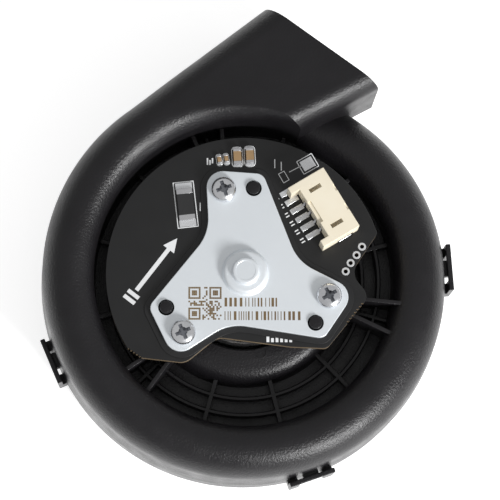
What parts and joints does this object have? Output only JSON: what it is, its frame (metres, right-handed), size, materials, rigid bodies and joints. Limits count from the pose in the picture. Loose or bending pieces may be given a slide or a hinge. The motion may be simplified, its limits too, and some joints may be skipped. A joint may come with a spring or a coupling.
{
  "type": "centrifugal suction blower",
  "caption": "Motorised centrifugal suction blower with a volute housing, tangential outlet, motor plate and driver board in the recess.",
  "frame": {"origin": "centre of the bounding box in plan, on the plane of the inlet ring's face", "axes": "+Z along the motor axis from the inlet to the motor plate; +Y is the way the outlet duct rises on the longer side; +X towards the outlet's tongue side"},
  "size_m": [0.0838, 0.0958, 0.0335],
  "materials": {
    "housing": "fine-grained satin black, glass-filled",
    "plate": "satin zinc plating",
    "film": "thin matt insulating film",
    "board": "black solder mask",
    "screw": "bright zinc",
    "connector": "ivory nylon",
    "contact": "tinned",
    "resistor": "black epoxy with tinned ends",
    "capacitor": "tan ceramic with tinned ends",
    "chip": "black epoxy",
    "brass": "turned",
    "steel": "ground",
    "core": "varnished laminations",
    "insulator": "natural nylon",
    "copper": "enamelled copper wire",
    "rotor_steel": "nickel-plated deep-drawn steel",
    "magnet": "bonded ferrite",
    "impeller": "moulded black nylon"
  },
  "bodies": {
    "blower_frame": {"upper_housing": "housing", "lower_housing": "housing", "motor_plate": "plate", "insulator_film": "film", "driver_pcb": "board", "plate_screw_1": "screw", "plate_screw_2": "screw", "plate_screw_3": "screw", "connector_housing": "connector", "connector_pin_1": "contact", "connector_pin_2": "contact", "connector_pin_3": "contact", "connector_pin_4": "contact", "connector_solder_tab_1": "contact", "connector_solder_tab_2": "contact", "shunt_resistor": "resistor", "capacitor_1": "capacitor", "capacitor_2": "capacitor", "capacitor_3": "capacitor", "capacitor_4": "capacitor", "driver_chip": "chip", "mosfet_1": "chip", "mosfet_2": "chip", "mosfet_3": "chip", "bearing_tube": "brass", "upper_bearing_outer_ring": "steel", "lower_bearing_outer_ring": "steel", "preload_spring": "steel", "stator_core": "core", "stator_insulator_upper": "insulator", "stator_insulator_lower": "insulator", "coil_1": "copper", "coil_2": "copper", "coil_3": "copper", "coil_4": "copper", "coil_5": "copper", "coil_6": "copper", "coil_7": "copper", "coil_8": "copper", "coil_9": "copper"},
    "rotor": {"upper_bearing_inner_ring": "steel", "lower_bearing_inner_ring": "steel", "motor_shaft": "steel", "retaining_ring": "steel", "rotor_cup": "rotor_steel", "rotor_magnet": "magnet", "rotor_bushing": "brass", "impeller": "impeller", "impeller_shroud": "impeller"},
    "upper_cage": {"upper_ball_cage": "steel"},
    "lower_cage": {"lower_ball_cage": "steel"}
  },
  "joints": [
    {"name": "rotor_spin", "type": "hinge", "parent": "blower_frame", "child": "rotor", "pos_m": [-0.00088, -0.00618, 0.02], "axis": [0, 0, 1], "continuous": true},
    {"name": "upper_cage_spin", "type": "hinge", "parent": "blower_frame", "child": "upper_cage", "pos_m": [-0.00088, -0.00618, 0.0269], "axis": [0, 0, 1], "continuous": true},
    {"name": "lower_cage_spin", "type": "hinge", "parent": "blower_frame", "child": "lower_cage", "pos_m": [-0.00088, -0.00618, 0.0202], "axis": [0, 0, 1], "continuous": true}
  ],
  "couplings": [
    {"joint": "upper_cage_spin", "follows": "rotor_spin", "ratio": 0.409},
    {"joint": "lower_cage_spin", "follows": "rotor_spin", "ratio": 0.409}
  ]
}
